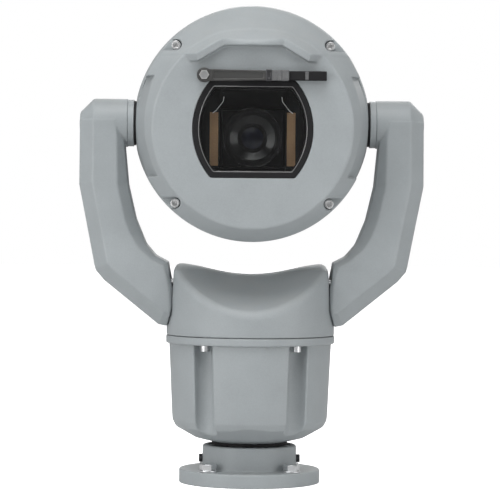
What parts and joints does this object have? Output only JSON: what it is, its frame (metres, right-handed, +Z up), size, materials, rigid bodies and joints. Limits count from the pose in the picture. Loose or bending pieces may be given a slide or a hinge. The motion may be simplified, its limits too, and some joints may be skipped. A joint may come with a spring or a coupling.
{
  "type": "pan-tilt-zoom camera",
  "caption": "Bolt-down pan-tilt-zoom camera: a two-arm yoke turns on a flanged base and carries a round tilting head with a flat window, a lens and a wiper.",
  "frame": {"origin": "centre of the base flange's bottom face, on the pan axis", "axes": "+Z up the pan axis; -Y the way the window looks with the head level; +X the side of the tilt drive, to the right in a view from the front; the tilt axis runs along X"},
  "size_m": [0.3, 0.197, 0.4279],
  "materials": {
    "grey_casting": "satin",
    "steel_hardware": "satin",
    "black_hardware": "satin",
    "bearing_steel": "polished",
    "gear_brass": "satin",
    "bare_aluminium": "satin",
    "motor_case": "satin",
    "black_rubber": "matte",
    "black_plastic": "matte",
    "board_green": "satin",
    "black_sheet": "matte",
    "black_camera": "satin",
    "heater_film": "satin",
    "window_glass": "gloss",
    "lens_glass": "gloss",
    "dark_arm": "satin"
  },
  "bodies": {
    "base": {"base_casting": "grey_casting", "base_bolts": "steel_hardware", "base_washers": "steel_hardware", "collar_screws": "black_hardware", "base_connector": "black_plastic", "pan_gear": "gear_brass", "pan_lock_nut": "bearing_steel", "pan_inner_races": "bearing_steel", "pan_balls": "bearing_steel", "slip_ring_stator": "black_plastic"},
    "pan_body": {"body_casting": "grey_casting", "pan_seal": "black_rubber", "pan_outer_races": "bearing_steel", "pan_motor": "motor_case", "pan_motor_plate": "bare_aluminium", "slip_ring_rotor": "black_plastic", "control_board": "board_green", "board_parts": "black_plastic", "shoulder_casting": "grey_casting", "shoulder_screws": "steel_hardware", "left_arm": "grey_casting", "right_arm": "grey_casting", "arm_screws": "steel_hardware", "left_arm_cover": "grey_casting", "right_arm_cover": "grey_casting", "arm_cover_screws": "steel_hardware", "left_axle": "bare_aluminium", "right_axle": "bare_aluminium", "tilt_inner_races": "bearing_steel", "tilt_gear": "gear_brass"},
    "pan_pinion": {"pan_pinion": "gear_brass"},
    "head": {"front_cover": "grey_casting", "rear_shell": "grey_casting", "joint_seal": "black_rubber", "cover_screws": "steel_hardware", "tilt_seals": "black_rubber", "tilt_outer_races": "bearing_steel", "tilt_balls": "bearing_steel", "tilt_motor": "motor_case", "tilt_motor_bracket": "bare_aluminium", "window_pane": "window_glass", "window_frame": "black_rubber", "window_retainer": "black_sheet", "light_baffle": "black_sheet", "camera_bracket": "black_sheet", "heater_strips": "heater_film", "camera_block": "black_camera", "lens_barrel": "black_camera", "front_lens": "lens_glass", "sensor_board": "board_green", "wiper_motor": "motor_case", "fan_frame": "black_plastic"},
    "tilt_pinion": {"tilt_pinion": "gear_brass"},
    "zoom_group": {"zoom_group": "lens_glass"},
    "focus_group": {"focus_group": "lens_glass"},
    "fan_rotor": {"fan_rotor": "black_plastic"},
    "wiper": {"wiper_shaft": "steel_hardware", "wiper_arm": "dark_arm", "wiper_nut": "steel_hardware", "wiper_blade": "black_rubber"}
  },
  "joints": [
    {"name": "pan", "type": "hinge", "parent": "base", "child": "pan_body", "pos_m": [0, 0, 0], "axis": [0, 0, 1], "continuous": true},
    {"name": "pan_pinion_spin", "type": "hinge", "parent": "pan_body", "child": "pan_pinion", "pos_m": [0.045, 0, 0.075], "axis": [0, 0, 1], "continuous": true},
    {"name": "tilt", "type": "hinge", "parent": "pan_body", "child": "head", "pos_m": [0, 0, 0.3135], "axis": [1, 0, 0], "range_deg": [-241, 61]},
    {"name": "tilt_pinion_spin", "type": "hinge", "parent": "head", "child": "tilt_pinion", "pos_m": [0.072, 0.01926, 0.33906], "axis": [1, 0, 0], "range_deg": [-724, 184]},
    {"name": "zoom", "type": "slide", "parent": "head", "child": "zoom_group", "axis": [0, 1, 0], "range_m": [0, 0.018]},
    {"name": "focus", "type": "slide", "parent": "head", "child": "focus_group", "axis": [0, 1, 0], "range_m": [-0.003, 0.008]},
    {"name": "fan_spin", "type": "hinge", "parent": "head", "child": "fan_rotor", "pos_m": [0, 0.057, 0.2775], "axis": [0, 1, 0], "continuous": true},
    {"name": "wipe", "type": "hinge", "parent": "head", "child": "wiper", "pos_m": [-0.0412, -0.09, 0.3508], "axis": [0, 1, 0], "range_deg": [0, 85]}
  ],
  "couplings": [
    {"joint": "pan_pinion_spin", "follows": "pan", "ratio": 3.5},
    {"joint": "tilt_pinion_spin", "follows": "tilt", "ratio": 3}
  ]
}
